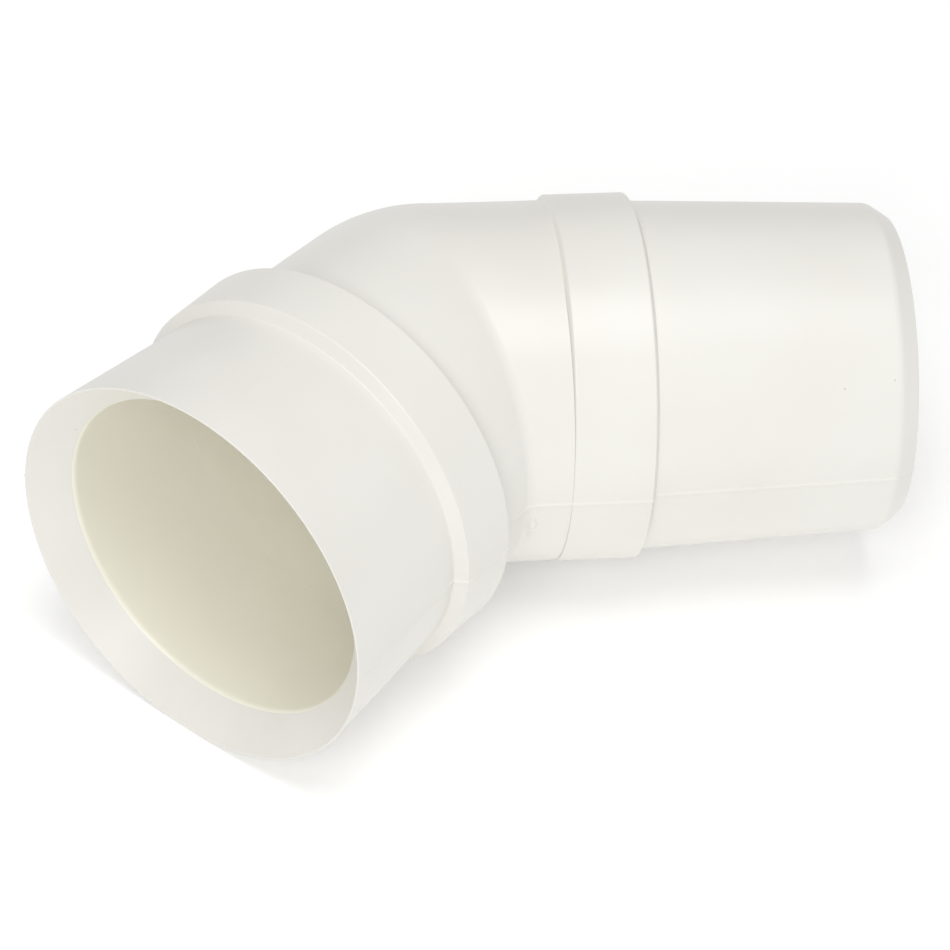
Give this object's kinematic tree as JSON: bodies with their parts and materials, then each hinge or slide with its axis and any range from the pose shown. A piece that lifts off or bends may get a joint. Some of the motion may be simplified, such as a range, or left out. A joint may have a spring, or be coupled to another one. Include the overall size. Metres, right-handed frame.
{
  "type": "pvc conduit elbow",
  "caption": "White PVC 45 degree conduit elbow with a bevelled socket on one leg, a tapered, chamfered spigot on the other and a raised collar round each leg.",
  "frame": {"origin": "middle of the pipe stop inside the socket, on the inlet leg's axis", "axes": "+X along the spigot's axis towards its tip, +Z normal to the elbow plane, with the socket mouth facing -X and -Y"},
  "size_m": [0.2756, 0.1863, 0.1316],
  "materials": {
    "white_pvc": "semi-gloss moulded PVC"
  },
  "bodies": {
    "root": {"bend": "white_pvc", "inlet_collar": "white_pvc", "outlet_collar": "white_pvc", "inlet_socket": "white_pvc", "outlet_spigot": "white_pvc"}
  },
  "joints": []
}
